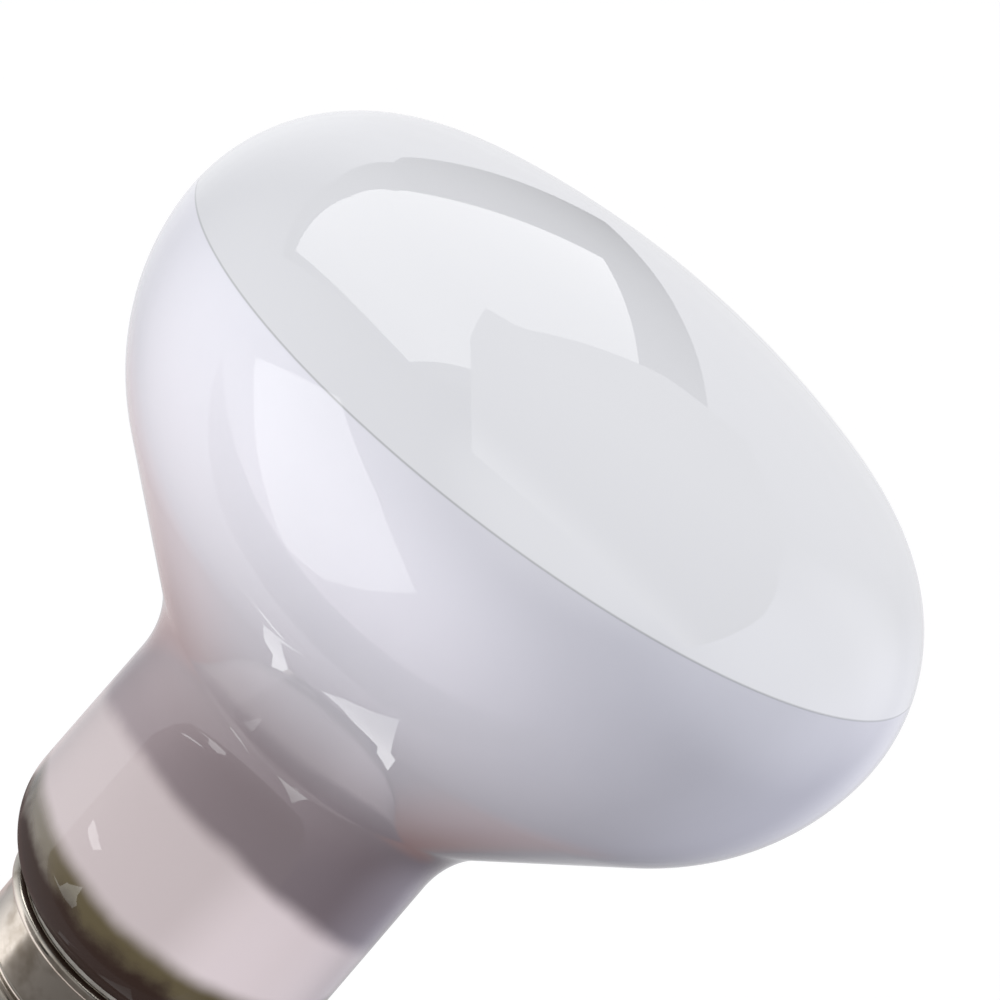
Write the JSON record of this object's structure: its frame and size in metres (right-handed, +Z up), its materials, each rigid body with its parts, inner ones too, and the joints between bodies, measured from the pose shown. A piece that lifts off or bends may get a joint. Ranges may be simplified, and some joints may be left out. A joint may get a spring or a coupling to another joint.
{
  "type": "halogen basking bulb",
  "caption": "Mushroom-shaped reflector lamp for a reptile basking spot, with a mirrored glass body, a frosted domed face and a threaded metal screw cap.",
  "frame": {"origin": "middle of the centre contact's flat face, at the bottom of the cap", "axes": "+Z up the bulb's axis, from the cap to the middle of the face; the side solder is towards +Y"},
  "size_m": [0.08, 0.08, 0.11],
  "materials": {
    "mirrored_glass": "clear glossy glass over a satin mirror coat on the body and a frosted light-grey face",
    "nickel_shell": "bright nickel plate with fine drawing marks",
    "black_insulator": "glossy black moulded glass",
    "contact_brass": "stamped brass, lightly rubbed",
    "solder": "dull tin solder",
    "cement": "matte baked basing cement",
    "lead_wire": "bare nickel wire"
  },
  "bodies": {
    "root": {"glass_bulb": "mirrored_glass", "cap_shell": "nickel_shell", "cap_insulator": "black_insulator", "centre_contact": "contact_brass", "centre_solder": "solder", "side_solder": "solder", "basing_cement": "cement", "centre_lead": "lead_wire", "side_lead": "lead_wire"}
  },
  "joints": []
}
